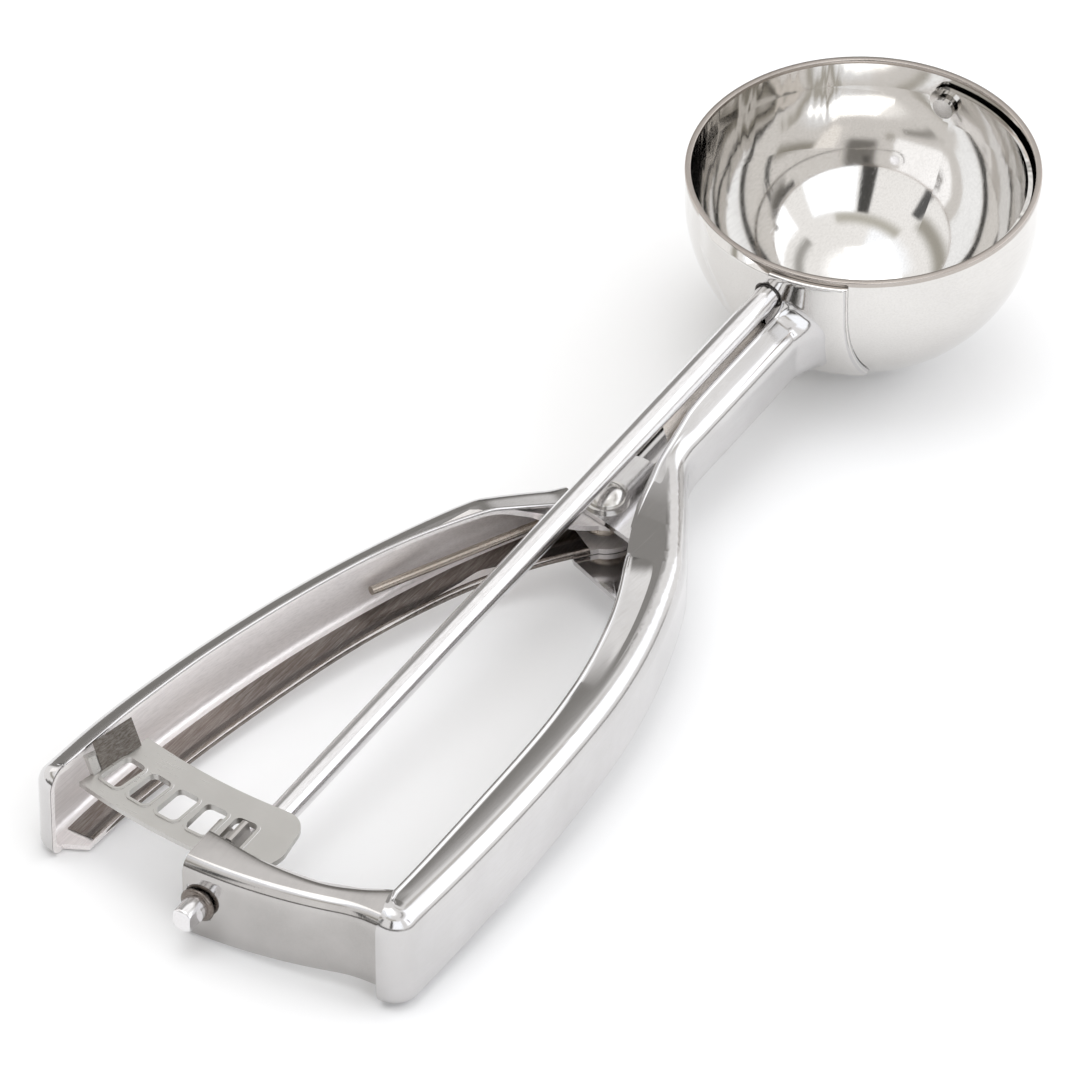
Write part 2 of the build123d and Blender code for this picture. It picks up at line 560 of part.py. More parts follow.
riv = cyl_z(R_RIVET, Z_BOT0 - 0.1, Z_LAND + 0.6)
riv += button(3.0, 0.3, 1.3, Z_LAND + 0.5, 1)
riv += button(3.2, 0.3, 1.1, Z_BOT0, -1)
hinge_rivet = main_solid(riv)
hinge_washer = cyl_z(3.7, Z_LAND, Z_LAND + 0.5) - cyl_z(R_RIVET, -10, 0)

# -------------------------------------------------------------- torsion spring
# A leg along the fixed handle's web and the coil round the rivet stay with the
# fixed handle; the leg along the moving handle's web goes with that handle, and
# parts from the coil's end as the spring winds up.  The paths are straight runs
# and tangent arcs.
A0, A1 = -48.2, 66.7 + 360.0
N_COIL = 14
step_a = (A1 - A0) / N_COIL
rv = R_COIL / cos(radians(step_a / 2))
pts = [Vector(X_HINGE + rv * cos(radians(A0 + step_a * (k + 0.5))),
              rv * sin(radians(A0 + step_a * (k + 0.5))),
              Z_COIL0 + (Z_COIL1 - Z_COIL0) * k / (N_COIL - 1)) for k in range(N_COIL)]
tb = Vector(sin(radians(A0)), -cos(radians(A0)), 0)
b1 = V(X_HINGE + R_COIL * cos(radians(A0)), R_COIL * sin(radians(A0)), Z_COIL0) + tb * 29.2
ta = Vector(-sin(radians(A1)), cos(radians(A1)), 0)
p1 = V(X_HINGE + R_COIL * cos(radians(A1)), R_COIL * sin(radians(A1)), Z_COIL1)
a1 = p1 + ta * 10.5
a2 = V(-113.3, a1.Y + (-113.3 - a1.X) * ta.Y / ta.X, -6.6)
pts = [b1] + pts + [p1]
radii = [R_COIL * 0.96] * N_COIL
wire = FilletPolyline(*pts, radius=radii)
torsion_spring = sweep(Plane(origin=wire @ 0, z_dir=wire % 0) * Circle(R_WIRE), path=wire)
leg = FilletPolyline(p1 + ta * GAP_LEG, a1, a2, radius=[20.0])
spring_lever_leg = main_solid(sweep(Plane(origin=leg @ 0, z_dir=leg % 0) * Circle(R_WIRE), path=leg))
print("leg", round(spring_lever_leg.volume, 2), spring_lever_leg.is_valid)
print("spring", len(torsion_spring.solids()), round(torsion_spring.volume, 2),
      round(wire.length * pi * R_WIRE ** 2, 2), torsion_spring.is_valid)
torsion_spring = main_solid(torsion_spring)

# ------------------------------------------------------------------ rack plate
def polar(r, a):
    return (X_HINGE - r * cos(radians(a)), r * sin(radians(a)))


A_BEND = 13.45
A_END = -4.55
a_c = A_END + degrees(5.0 / R_RACK_OUT)
edges = [ThreePointArc(V(*polar(R_RACK_OUT, A_BEND + 0.25)), V(*polar(R_RACK_OUT, 4)),
                       V(*polar(R_RACK_OUT, A_END + 2.8)))]
edges += [ThreePointArc(V(*polar(R_RACK_OUT, A_END + 2.8)),
                        V(*polar(R_RACK_OUT - 1.75, A_END + 0.95)),
                        V(*polar(R_RACK_OUT - 5.6, A_END)))]
edges += lines([polar(R_RACK_OUT - 5.6, A_END), polar(R_RACK_IN + 3.6, A_END + 0.15)])
edges += [ThreePointArc(V(*polar(R_RACK_IN + 3.6, A_END + 0.15)),
                        V(*polar(R_RACK_IN + 0.95, A_END + 0.85)),
                        V(*polar(R_RACK_IN, A_END + 2.4)))]
edges += [ThreePointArc(V(*polar(R_RACK_IN, A_END + 2.4)), V(*polar(R_RACK_IN, 5)),
                        V(*polar(R_RACK_IN, A_BEND + 0.25)))]
edges += lines([polar(R_RACK_IN, A_BEND + 0.25), polar(R_RACK_OUT, A_BEND + 0.25)])
rack = prism(make_face(edges), Z_RACK, Z_RACK + T_RACK)


def window(grow, r_c, z0, z1):
    w = Pos(-R_RACK, 0, (z0 + z1) / 2) * Box(WIN_R + 2 * grow, WIN_T + 2 * grow, z1 - z0)
    return try_fillet(w, w.edges().filter_by(Axis.Z), r_c, "window")


for i in range(N_WINDOWS):
    turn = Pos(X_HINGE, 0, 0) * Rot(0, 0, -PITCH_DEG * i)
    rack += turn * window(0.45, 1.45, Z_RACK + T_RACK - 0.1, Z_RACK + T_RACK + 0.2)
for i in range(N_WINDOWS):
    turn = Pos(X_HINGE, 0, 0) * Rot(0, 0, -PITCH_DEG * i)
    rack -= turn * window(0.0, 1.0, Z_RACK - 1, Z_RACK + 2)
# tab that turns up inside the moving handle
s0, s1 = -0.4, 0.5
prof = [(s0, Z_RACK), (0.45, Z_RACK), (2.9, 9.6), (1.95, 9.9), (-0.15, Z_RACK + T_RACK),
        (s0, Z_RACK + T_RACK)]
ca, sa = cos(radians(A_BEND)), sin(radians(A_BEND))
rb = R_RACK_IN + 1.8
bx, by = polar(rb, A_BEND)
pts = [Vector(bx + sa * s, by + ca * s, z) for s, z in prof]
tab = extrude(make_face(Polyline(*pts, close=True)), amount=106.6 - rb, dir=(-ca, sa, 0))
gap = 0.06
e, end, _ = arcs(MOV_PATH, T + gap)
room = prism(make_face(list(e) + lines([end, (-183.9, end[1]), (-183.9, -25), (-90, -25),
                                        (e[0].position_at(0).X, e[0].position_at(0).Y)])), -20, 20)
tab = tab & room & side_solid(MOV_SIDE, MOV_SIDE_R, T + gap)
rack += tab
rack_plate = main_solid(rack)
print("rack", len(rack.solids()), rack_plate.is_valid, round(rack_plate.volume, 1))

# ------------------------------------------------------------- lay it all down
pieces = {
    "bowl": bowl, "fixed_handle": fixed_handle, "end_bracket": end_bracket,
    "moving_handle": moving_handle, "rack_plate": rack_plate, "sweep_rod": sweep_rod,
    "pinion": pinion, "sweep_blade": sweep_blade, "blade_stud": blade_stud,
    "hinge_rivet": hinge_rivet, "hinge_washer": hinge_washer,
    "torsion_spring": torsion_spring, "spring_lever_leg": spring_lever_leg,
}
lay = Rot(REST_ROLL, 0, 0) * Rot(0, REST_PITCH, 0)
laid = {k: lay * v for k, v in pieces.items()}
bbs = [s.bounding_box() for s in laid.values()]
lo = [min(b.min.X for b in bbs), min(b.min.Y for b in bbs), min(b.min.Z for b in bbs)]
hi = [max(b.max.X for b in bbs), max(b.max.Y for b in bbs), max(b.max.Z for b in bbs)]
shift = (-(lo[0] + hi[0]) / 2, -(lo[1] + hi[1]) / 2, -lo[2])
print("shift", [round(v, 5) for v in shift], "size", [round(b - a, 3) for a, b in zip(lo, hi)])
print("min z", {k: round(s.bounding_box().min.Z - lo[2], 3) for k, s in laid.items()})
for name, s in laid.items():
    export_step(Pos(*shift) * s, "parts/" + name + ".step")
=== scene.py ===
import math

import bpy
import bmesh
from mathutils import Matrix, Vector


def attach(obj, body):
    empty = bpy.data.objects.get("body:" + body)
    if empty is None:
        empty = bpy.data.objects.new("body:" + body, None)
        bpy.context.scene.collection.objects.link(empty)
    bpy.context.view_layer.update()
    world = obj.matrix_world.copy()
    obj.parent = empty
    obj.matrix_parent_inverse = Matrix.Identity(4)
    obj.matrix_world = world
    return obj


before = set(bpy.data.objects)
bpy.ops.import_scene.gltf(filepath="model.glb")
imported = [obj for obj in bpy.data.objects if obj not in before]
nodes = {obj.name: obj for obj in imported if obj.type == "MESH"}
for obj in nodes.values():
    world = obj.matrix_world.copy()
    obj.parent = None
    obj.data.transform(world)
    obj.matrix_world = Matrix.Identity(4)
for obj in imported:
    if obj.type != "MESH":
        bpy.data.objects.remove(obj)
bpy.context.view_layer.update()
scene = bpy.context.scene

# ------------------------------------------------------------ the scoop's frame
# The scoop was drawn with its origin at the bowl's centre, +X along the rod and
# +Z square to the rim, then laid down.  These take its points to the frame.
REST_PITCH, REST_ROLL = math.radians(-6.323416), math.radians(-3.166613)
SHIFT = Vector((82.50483, 2.31837, 28.00261)) / 1000
LAY = Matrix.Translation(SHIFT) @ Matrix.Rotation(REST_ROLL, 4, "X") @ Matrix.Rotation(REST_PITCH, 4, "Y")


def S(x, y, z):
    """A point of the scoop's own frame, in mm, to the row frame, in metres."""
    return LAY @ Vector((x / 1000, y / 1000, z / 1000))


# ----------------------------------------------------------------- node helpers
class Nodes:
    def __init__(self, name):
        self.mat = bpy.data.materials.new(name)
        self.mat.use_nodes = True
        self.t = self.mat.node_tree
        self.t.nodes.clear()
        self.out = self.t.nodes.new("ShaderNodeOutputMaterial")
        self.bsdf = self.t.nodes.new("ShaderNodeBsdfPrincipled")
        self.t.links.new(self.bsdf.outputs[0], self.out.inputs[0])
        self.tc = self.t.nodes.new("ShaderNodeTexCoord")

    def link(self, a, b):
        self.t.links.new(a, b)

    def new(self, kind, **kw):
        n = self.t.nodes.new(kind)
        for k, v in kw.items():
            setattr(n, k, v)
        return n

    def mapping(self, scale=(1, 1, 1), rot=(0, 0, 0), loc=(0, 0, 0)):
        m = self.new("ShaderNodeMapping")
        m.inputs["Scale"].default_value = scale
        m.inputs["Rotation"].default_value = rot
        m.inputs["Location"].default_value = loc
        self.link(self.tc.outputs["Object"], m.inputs["Vector"])
        return m.outputs["Vector"]

    def noise(self, vec, scale, detail=4.0, rough=0.55, dist=0.0):
        n = self.new("ShaderNodeTexNoise")
        n.inputs["Scale"].default_value = scale
        n.inputs["Detail"].default_value = detail
        n.inputs["Roughness"].default_value = rough
        n.inputs["Distortion"].default_value = dist
        self.link(vec, n.inputs["Vector"])
        return n.outputs["Fac"]

    def ramp(self, fac, stops):
        r = self.new("ShaderNodeValToRGB")
        e = r.color_ramp.elements
        while len(e) < len(stops):
            e.new(0.5)
        for el, (p, c) in zip(e, stops):
            el.position = p
            el.color = (*c, 1) if len(c) == 3 else c
        self.link(fac, r.inputs["Fac"])
        return r.outputs["Color"]

    def range(self, fac, a, b, c, d):
        m = self.new("ShaderNodeMapRange")
        m.inputs["From Min"].default_value = a
        m.inputs["From Max"].default_value = b
        m.inputs["To Min"].default_value = c
        m.inputs["To Max"].default_value = d
        self.link(fac, m.inputs["Value"])
        return m.outputs["Result"]

    def math(self, op, a, b=None):
        m = self.new("ShaderNodeMath", operation=op)
        for i, v in enumerate((a, b)):
            if v is None:
                continue
            if isinstance(v, (int, float)):
                m.inputs[i].default_value = v
            else:
                self.link(v, m.inputs[i])
        return m.outputs[0]

    def mix(self, fac, a, b, blend="MIX"):
        m = self.new("ShaderNodeMix", data_type="RGBA", blend_type=blend)
        for sock, v in ((m.inputs[0], fac), (m.inputs[6], a), (m.inputs[7], b)):
            if isinstance(v, (int, float)):
                sock.default_value = v
            elif isinstance(v, tuple):
                sock.default_value = (*v, 1)
            else:
                self.link(v, sock)
        return m.outputs[2]

    def bump(self, height, strength, distance, normal=None):
        b = self.new("ShaderNodeBump")
        b.inputs["Strength"].default_value = strength
        b.inputs["Distance"].default_value = distance
        self.link(height, b.inputs["Height"])
        if normal is not None:
            self.link(normal, b.inputs["Normal"])
        return b.outputs["Normal"]


def steel(name, tint=(0.66, 0.65, 0.65), dark=(0.54, 0.53, 0.53), rough=(0.05, 0.13),
          grain_axis=0, grain=0.10, wave=0.25, aniso=0.0, scratch=0.08, ripple=0.0, metal=1.0):
    """Stainless steel: drawing grain along one axis, soft pressing waves, faint
    scratches, and a little cloudy variation of tint and roughness."""
    n = Nodes(name)
    stretch = [420.0, 420.0, 420.0]
    stretch[grain_axis] = 16.0
    rot = (0, -REST_PITCH, 0)
    fine = n.noise(n.mapping(tuple(stretch), rot), 9.0, 6.0, 0.7)
    cloud = n.noise(n.mapping((1, 1, 1)), 38.0, 5.0, 0.6)
    slow = n.noise(n.mapping((1, 1, 1), loc=(3.1, 1.7, 0.4)), 14.0, 2.0, 0.5)
    col = n.mix(n.range(cloud, 0.35, 0.72, 0.0, 1.0), tint, dark)
    col2 = n.mix(n.range(fine, 0.42, 0.70, 0.0, 0.35), col, (0.55, 0.53, 0.51))
    n.link(col2, n.bsdf.inputs["Base Color"])
    n.bsdf.inputs["Metallic"].default_value = metal
    r1 = n.range(cloud, 0.3, 0.75, rough[0], rough[1])
    r2 = n.math("ADD", r1, n.range(fine, 0.35, 0.8, 0.0, 0.10))
    n.link(r2, n.bsdf.inputs["Roughness"])
    if aniso:
        n.bsdf.inputs["Anisotropic"].default_value = aniso
    # scratches: thin broken lines from two stretched, turned noises
    lines = None
    for k, ang in enumerate((0.35, -0.6, 1.2)):
        v = n.mapping((60, 2600, 700), (0.2 * k, 0.15 * k, ang), (k * 7.7, 0, 0))
        s = n.range(n.noise(v, 1.0, 2.0, 0.5, 0.2), 0.70, 0.76, 0.0, 1.0)
        lines = s if lines is None else n.math("MAXIMUM", lines, s)
    nb = n.bump(slow, wave, 0.0006)
    if ripple:
        # upright spinning ripples, strongest towards the top of the wall
        up = n.noise(n.mapping((1.0, 1.0, 0.16), rot), 170.0, 2.0, 0.5, 0.6)
        z = n.new("ShaderNodeSeparateXYZ")
        n.link(n.mapping((1, 1, 1)), z.inputs[0])
        side = n.range(n.math("ABSOLUTE", n.math("SUBTRACT", z.outputs[1], 0.0023)), 0.009, 0.019, 0.0, 1.0)
        high = n.range(z.outputs[2], 0.0185, 0.029, 0.0, 1.0)
        nb = n.bump(n.math("MULTIPLY", up, n.math("MULTIPLY", side, high)), ripple, 0.0004, nb)
    nb = n.bump(fine, grain, 0.00003, nb)
    nb = n.bump(lines, scratch, 0.00003, nb)
    n.link(nb, n.bsdf.inputs["Normal"])
    return n.mat


mats = {
    "handle": steel("polished_handle_steel", grain=0.12, wave=0.35),
    "bowl": steel("spun_bowl_steel", tint=(0.765, 0.75, 0.73), dark=(0.70, 0.685, 0.665), rough=(0.02, 0.06), grain=0.03, wave=0.12, scratch=0.05, ripple=0.7),
    "rod": steel("drawn_rod_steel", tint=(0.86, 0.85, 0.86), dark=(0.78, 0.77, 0.78), rough=(0.10, 0.18), grain=0.18, wave=0.1),
    "rack": steel("rolled_rack_steel", tint=(0.60, 0.59, 0.57), dark=(0.50, 0.49, 0.47), rough=(0.22, 0.34), grain=0.25, wave=0.15, grain_axis=1),
    "pinion": steel("cast_pinion_steel", tint=(0.58, 0.56, 0.54), dark=(0.42, 0.40, 0.38), rough=(0.24, 0.40), grain=0.2),
    "spring": steel("spring_wire", tint=(0.52, 0.46, 0.40), dark=(0.32, 0.27, 0.22), rough=(0.2, 0.34), grain=0.1),
    "web": steel("channel_inside_steel", tint=(0.97, 0.93, 0.92), dark=(0.90, 0.86, 0.85), rough=(0.32, 0.45), grain=0.2, wave=0.1, metal=0.62),
    "rivet": steel("rivet_steel", tint=(0.70, 0.69, 0.67), dark=(0.60, 0.58, 0.56), rough=(0.08, 0.2), grain=0.08, wave=0.2),
}
use = {
    "bowl": "bowl", "fixed_handle": "handle", "end_bracket": "handle", "moving_handle": "web",
    "rack_plate": "rack", "sweep_rod": "rod", "pinion": "pinion", "sweep_blade": "bowl",
    "blade_stud": "rivet", "hinge_rivet": "rivet", "hinge_washer": "rivet", "torsion_spring": "spring",
    "spring_lever_leg": "spring",
}
for node, key in use.items():
    o = nodes[node]
    o.data.materials.clear()
    o.data.materials.append(mats[key])

# ------------------------------------------------------------ sheet metal skins
# The handles, the bracket and the bowl's cradle get a fine outer skin: the same
# sheet, with its rounded bends, slightly crowned flanges and rolled inner lips.
# Near-black steel: painted shade, standing in for the dark reflections inside the moving handle's channel.
mats["handle_dark"] = steel("channel_painted_shade_steel", tint=(0.18, 0.15, 0.13), dark=(0.09, 0.075, 0.065),
                            rough=(0.14, 0.26), grain=0.15, wave=0.3)
mats["seam"] = steel("seam_shadow_steel", tint=(0.10, 0.09, 0.085), dark=(0.06, 0.055, 0.05),
                     rough=(0.3, 0.5), grain=0.1, wave=0.1)
# Bracket steel is a darker copy of the handle steel: painted shade on the bracket's wall.
mats["bracket"] = steel("bracket_steel", tint=(0.55, 0.535, 0.525), dark=(0.38, 0.365, 0.355),
                        rough=(0.05, 0.12), grain=0.1, wave=0.45)
# Rim bead steel is darker and browner than the bowl steel: painted reflection of the dark far wall along the rim.
mats["bead"] = steel("rim_bead_steel", tint=(0.50, 0.455, 0.42), dark=(0.40, 0.36, 0.33), rough=(0.10, 0.2),
                     grain=0.1, wave=0.2)
# Near-black tab steel: painted shade where the tab sits under the moving handle's flange.
mats["tab"] = steel("tab_painted_shade_steel", tint=(0.17, 0.15, 0.13), dark=(0.09, 0.08, 0.07), rough=(0.22, 0.36),
                    grain=0.0, wave=0.3, scratch=0.0)
mats["strip"] = steel("neck_strip_steel", tint=(0.66, 0.62, 0.58), dark=(0.50, 0.46, 0.42), rough=(0.14, 0.26),
                      grain=0.2, wave=0.4)
OFF = 0.06
X_HINGE = -77.0
FIX_PATH = ((-60.0, -6.6), 180.0,
            [(8.259, 212.789), (21.323, 209.024), (2.909, 202.393), (39.496, 185.716), (49.2, 180.0)])
MOV_PATH = ((-74.6, 5.3), 145.948,
            [(26.818, 161.477), (35.53, 169.645), (35.056, 176.1), (11.4, 180.0)])
WALL_PATH = ((-186.24, -29.2), 90.0, [(3.2, 90.3), (5.0, 106.0), (24.3, 90.0)])
FIX_IN = [(-24.0, -2.2), (-40.0, -2.2), (-54.0, -2.25), (-60.0, -2.8), (-68.0, -4.2), (-73.1, -5.6),
          (-78.8, -7.2), (-85.8, -9.9), (-102.2, -17.3), (-113.5, -20.9), (-125.8, -23.3),
          (-138.5, -24.9), (-159.1, -26.3), (-176.0, -27.2), (-192.0, -27.6)]
MOV_IN = [(-70.0, -3.5), (-81.5, 2.9), (-90.5, 8.0), (-99.0, 12.3), (-109.4, 16.5), (-122.1, 20.2),
          (-134.6, 22.7), (-149.0, 24.9), (-165.4, 26.4), (-176.0, 26.8), (-192.0, 27.0)]
MOV_IN_LOW = [(-82.0, -1.9), (-90.0, 4.4), (-99.0, 9.4), (-111.8, 14.0), (-121.1, 16.5),
              (-131.8, 18.6), (-141.9, 20.2), (-152.3, 21.6), (-165.0, 22.9), (-176.0, 23.6),
              (-192.0, 24.0)]
BRK_IN = [(-182.6, 8.0), (-182.6, 3.0), (-184.0, -7.3), (-183.6, -16.3), (-181.6, -22.4),
          (-179.5, -26.2), (-177.0, -31.0)]


def walk(path, step=1.0):
    """Points and headings along a plan path of tangent arcs."""
    (x, y), h, segs = path
    h = math.radians(h)
    out = [(x, y, h)]
    for length, h1 in segs:
        h1 = math.radians(h1)
        n = max(3, int(math.ceil(length / step)))
        for k in range(n):
            hm = h + (h1 - h) / n * (k + 0.5)
            x += length / n * math.cos(hm)
            y += length / n * math.sin(hm)
            out.append((x, y, h + (h1 - h) / n * (k + 1)))
        h = h1
    return out


def smooth_line(pts, k=10):
    """Catmull-Rom curve through plan points."""
    q = [pts[0]] + list(pts) + [pts[-1]]
    out = []
    for i in range(1, len(q) - 2):
        p0, p1, p2, p3 = q[i - 1], q[i], q[i + 1], q[i + 2]
        for j in range(k):
            t = j / k
            out.append(tuple(0.5 * (2 * p1[c] + (p2[c] - p0[c]) * t
                                    + (2 * p0[c] - 5 * p1[c] + 4 * p2[c] - p3[c]) * t * t
                                    + (3 * p1[c] - p0[c] - 3 * p2[c] + p3[c]) * t ** 3) for c in (0, 1)))
    return out + [pts[-1]]


def reach(x, y, nx, ny, line, limit=16.0):
    """Distance from a point along a plan direction to a plan line."""
    best = None
    for (ax, ay), (bx, by) in zip(line[:-1], line[1:]):
        ex, ey = bx - ax, by - ay
        det = nx * ey - ny * ex
        if abs(det) < 1e-9:
            continue
        t = ((ax - x) * ey - (ay - y) * ex) / det
        u = ((ax - x) * ny - (ay - y) * nx) / det
        if 0 <= u <= 1 and 0.2 < t < limit and (best is None or t < best):
            best = t
    return best


def profile(pts, radii, step=0.5):
    """Heights along a side outline whose corners are rounded: (xs, zs) rising in x."""
    out = [pts[0]]
    for i in range(1, len(pts) - 1):
        (x0, z0), (x1, z1), (x2, z2) = pts[i - 1], pts[i], pts[i + 1]
        u = Vector((x1 - x0, z1 - z0)).normalized()
        w = Vector((x2 - x1, z2 - z1)).normalized()
        half = math.acos(max(-1, min(1, u.dot(w)))) / 2
        if not radii[i] or half < 1e-5:
            out.append((x1, z1))
            continue
        t = radii[i] * math.tan(half)
        a, b = Vector((x1, z1)) - u * t, Vector((x1, z1)) + w * t
        for k in range(13):
            f = k / 12
            p = a * (1 - f) ** 2 + Vector((x1, z1)) * 2 * f * (1 - f) + b * f * f
            out.append((p.x, p.y))
    out.append(pts[-1])
    out = sorted(out)
    return [p[0] for p in out], [p[1] for p in out]


def height(prof, x):
    xs, zs = prof
    if x <= xs[0]:
        return zs[0]
    for i in range(1, len(xs)):
        if x <= xs[i]:
            d = xs[i] - xs[i - 1]
            return zs[i] if d < 1e-9 else zs[i - 1] + (zs[i] - zs[i - 1]) * (x - xs[i - 1]) / d
    return zs[-1]


def surface(name, rows, body, mat, close_rows=False, flip=False, smooth=True, hole=None):
    """A piece from rows of points in the scoop's frame, joined row to row."""
    bm = bmesh.new()
    grid = [[bm.verts.new(S(*p)) for p in row] for row in rows]
    n = len(rows[0])
    for i in range(len(rows) - 1):
        for j in range(n - (0 if close_rows else 1)):
            k = (j + 1) % n
            q = [grid[i][j], grid[i][k], grid[i + 1][k], grid[i + 1][j]]
            if hole:
                four = (rows[i][j], rows[i][k], rows[i + 1][k], rows[i + 1][j])
                if hole([sum(c) / 4 for c in zip(*four)]):
                    continue
            if flip:
                q.reverse()
            try:
                bm.faces.new(q)
            except ValueError:
                pass
    bmesh.ops.delete(bm, geom=[v for v in bm.verts if not v.link_faces], context="VERTS")
    bmesh.ops.remove_doubles(bm, verts=bm.verts, dist=1e-7)
    for f in bm.faces:
        f.smooth = smooth
    me = bpy.data.meshes.new(name)
    bm.to_mesh(me)
    bm.free()
    o = bpy.data.objects.new(name, me)
    scene.collection.objects.link(o)
    me.materials.append(mat)
    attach(o, body)
    return o


def section(zt, zb, w, rt, rb, rl, crown=0.03, rise=0.0, tilt=0.0):
    """Outer skin of a channel: bottom bend, web, top bend, flange, beaded lip.
    Gives (inward distance, height)."""
    pts = [(rb + 1.2, zb - OFF)]
    for k in range(9):
        a = math.radians(270 - 90 * k / 8)
        pts.append((rb + (rb + OFF) * math.cos(a), zb + rb + (rb + OFF) * math.sin(a)))
    for k in range(1, 6):
        f = k / 6
        pts.append((-OFF, (zb + rb) * (1 - f) + (zt - rt) * f))
    end = 90 + rise
    for k in range(17):
        a = math.radians(180 + (end - 180) * k / 16)
        pts.append((rt + (rt + OFF) * math.cos(a), zt - rt + (rt + OFF) * math.sin(a)))
    d = math.tan(math.radians(rise))
    u0, z0 = pts[-1]
    u1 = max(u0 + 0.1, w - 2 * rl + 0.1)
    for k in range(1, 11):
        u = u0 + (u1 - u0) * k / 10
        v = max(0.0, u - u0 - 0.5)
        pts.append((u, z0 + (u - u0) * d + crown * 4 * (k / 10) * (1 - k / 10) + tilt * v * min(1.0, v / 0.6)))
    z1 = pts[-1][1]
    # raised bead along the free edge
    cz = z1 - 0.3 * rl
    for k in range(12):
        a = math.radians(160 - 230 * k / 11)
        pts.append((u1 + rl + rl * math.cos(a), cz + rl * math.sin(a)))
    return pts


def place(st, side, pts):
    """Section points at a station of the plan path. side is +1 when the inside
    of the channel is to the right of the path, -1 when it is to the left."""
    x, y, h = st
    nx, ny = side * math.sin(h), -side * math.cos(h)
    return [(x + nx * u, y + ny * u, z) for u, z in pts]


def turn(x, y, h, r, side, n=10):
    """Stations round a quarter corner that turns toward the inside."""
    out = []
    cx, cy = x + side * math.sin(h) * r, y - side * math.cos(h) * r
    for k in range(1, n + 1):
        a = h - side * math.pi / 2 * k / n
        out.append((cx - side * math.sin(a) * r, cy + side * math.cos(a) * r, a))
    return out


# ---- fixed handle
FIX_TOP = profile([(-192.2, -2.6 + 0.0972222 * 120.2), (-72.0, -2.6), (-18.0, -2.6)], [0, 200.0, 0])
FIX_BOT = profile([(-192.2, -13.6 + 0.0426357 * 108.2), (-84.0, -13.6), (-18.0, -13.6)], [0, 180.0, 0])
fix_line = smooth_line(FIX_IN)
stations = [(-31.5 - k * 0.95, -6.6, math.pi) for k in range(30)] + walk(FIX_PATH)
x, y, h = stations[-1]
n = int(abs(-187.2 + 4.2 - x))
stations += [(x + (-183.0 - x) * (k + 1) / n, y, math.pi) for k in range(n)]
n_web = len(stations)
stations += turn(stations[-1][0], stations[-1][1], math.pi, 4.2, 1)
x, y, h = stations[-1]
stations += [(x, y + (-28.4 - y) * (k + 1) / 2, h) for k in range(2)]
rows = []
for i, st in enumerate(stations):
    x, y, h = st
    zt, zb = height(FIX_TOP, x), height(FIX_BOT, x)
    w = reach(x, y, math.sin(h), -math.cos(h), fix_line) or 4.4
    rl = 0.42
    rise = 0.0
    tilt = 0.26 * max(0.0, min(1.0, (-87.0 - x) / 6.0)) * max(0.0, min(1.0, (x + 122.0) / 14.0))
    if x > -72:
        rise = 25.0 * min(1.0, (x + 72.0) / 14.0)
    if i >= n_web - 3:
        f = min(1.0, (i - n_web + 3) / 4)
        w = w * (1 - f) + 4.05 * f
        rl = 0.42 * (1 - f) + 0.08 * f
    rows.append(place(st, 1, section(zt, zb, w, 3.5, 2.6, rl, 0.03 if i < n_web - 3 else 0.0, rise, tilt)))
surface("fixed_handle_skin", rows, "frame", mats["handle"])
neck_rows = rows[:1]

# ---- flare from the neck into the right half of the bowl's cradle
def on_shell(y, z, r):
    """Point of the cradle's outer face at a given y and z, behind the bowl."""
    q = r * r - (z * z if z < 0 else 0.0) - y * y
    return (-math.sqrt(max(q, 0.0)), y, z)


R_SH = 28.0 + 0.93 + 0.05
start = neck_rows[0]
m = len(start)
targets = []
for j, (x, y, z) in enumerate(start):
    # spread the section outward over the cradle
    f = j / (m - 1)
    ty = y - 2.6 * math.sin(math.pi * min(1.0, f * 1.02)) - 0.3
    tz = z + (-2.6 + 5.4 * f)
    targets.append((max(ty, -11.0), min(tz, 2.6)))
rows = []
for k in range(15):
    t = k / 14
    h00, h10 = 2 * t ** 3 - 3 * t ** 2 + 1, t ** 3 - 2 * t ** 2 + t
    h01, h11 = -2 * t ** 3 + 3 * t ** 2, t ** 3 - t ** 2
    row = []
    for (x, y, z), (ty, tz) in zip(start, targets):
        e = Vector(on_shell(ty, tz, R_SH))
        out = Vector((0, ty - y, tz - z))
        nrm = Vector((e.x, e.y, e.z if tz < 0 else 0)).normalized()
        tan = out - nrm * out.dot(nrm)
        tan = tan.normalized() * 2.6 if tan.length > 1e-6 else Vector((3, 0, 0))
        p = Vector((x, y, z)) * h00 + Vector((3.6, 0, 0)) * h10 + e * h01 + tan * h11
        row.append(tuple(p))
    rows.append(row)
surface("neck_flare_right", rows, "frame", mats["handle"], flip=True)

# ---- cradle skins, right and left of the rod
def ease(t):
    t = max(0.0, min(1.0, t))
    return t * t * (3 - 2 * t)


def hole_edge(z):
    """Half width of the rod's hole at a height; closed above it."""
    if z >= 2.45:
        return 0.0
    return math.sqrt(2.45 ** 2 - z * z) if z > 0 else 2.45


